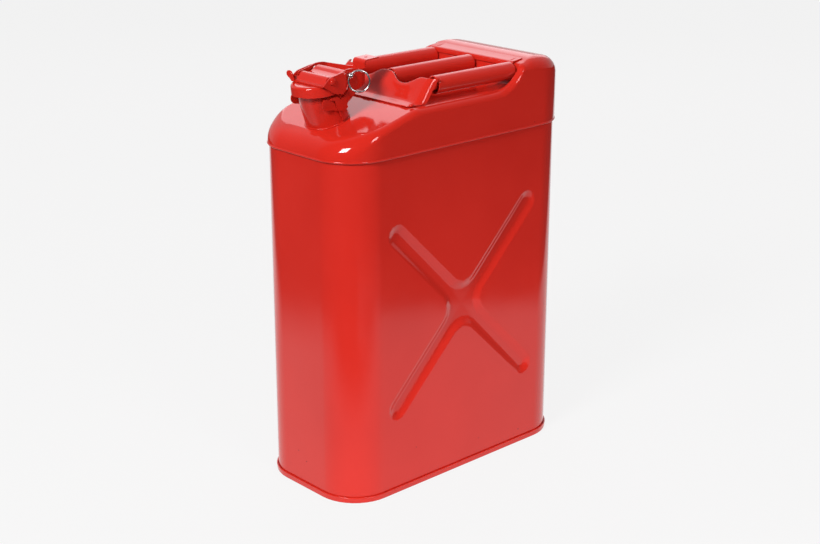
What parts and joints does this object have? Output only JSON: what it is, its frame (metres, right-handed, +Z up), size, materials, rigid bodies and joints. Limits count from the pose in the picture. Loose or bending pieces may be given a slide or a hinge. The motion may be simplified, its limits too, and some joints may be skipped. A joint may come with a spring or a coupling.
{
  "type": "safety gas can",
  "caption": "Upright red sheet-steel fuel can with a leaning filler neck, a hinged cap under a cam lever with safety pin and pull ring, and tube handle bars over a hand recess.",
  "frame": {"origin": "centre of the base on the surface it stands on", "axes": "+Z up, +X from the filler neck end to the rear hump, +Y across the thickness to the side away from the pull ring"},
  "size_m": [0.345, 0.165, 0.4833],
  "materials": {
    "red_paint": "gloss",
    "bright_steel": "bright zinc plate",
    "rubber": "matt"
  },
  "bodies": {
    "can": {"bottom_pan": "red_paint", "body_shell": "red_paint", "top_shell": "red_paint", "filler_neck": "red_paint", "neck_collar": "red_paint", "hinge_pin": "bright_steel", "breather_tube": "bright_steel", "handle_front_plate": "red_paint", "handle_rear_plate": "red_paint", "handle_bar_near": "red_paint", "handle_bar_middle": "red_paint", "handle_bar_far": "red_paint", "bar_stub_near": "red_paint", "bar_stub_middle": "red_paint", "bar_stub_far": "red_paint", "leg_weld_near": "red_paint", "leg_weld_far": "red_paint"},
    "cap": {"cap_shell": "red_paint", "cap_gasket": "rubber", "gasket_retainer": "bright_steel", "cap_bridge": "red_paint", "seal_lug": "red_paint", "pivot_rivet": "red_paint"},
    "lever": {"cam_lever": "red_paint"},
    "pin": {"safety_pin": "bright_steel"},
    "ring": {"pull_ring": "bright_steel"}
  },
  "joints": [
    {"name": "cap_swing", "type": "hinge", "parent": "can", "child": "cap", "pos_m": [-0.111, 0, 0.446], "axis": [0, 1, 0], "range_deg": [0, 60]},
    {"name": "lever_lift", "type": "hinge", "parent": "cap", "child": "lever", "pos_m": [-0.1443, 0, 0.4703], "axis": [0, -1, 0], "range_deg": [0, 60]},
    {"name": "pin_pull", "type": "slide", "parent": "cap", "child": "pin", "axis": [0, -1, 0], "range_m": [0, 0.062]},
    {"name": "ring_swing", "type": "hinge", "parent": "pin", "child": "ring", "pos_m": [-0.1228, -0.0312, 0.4738], "axis": [0.5039, -0.2364, 0.8308], "range_deg": [-40, 25]}
  ],
  "couplings": [
    {"joint": "lever_lift", "follows": "cap_swing", "ratio": 1}
  ]
}
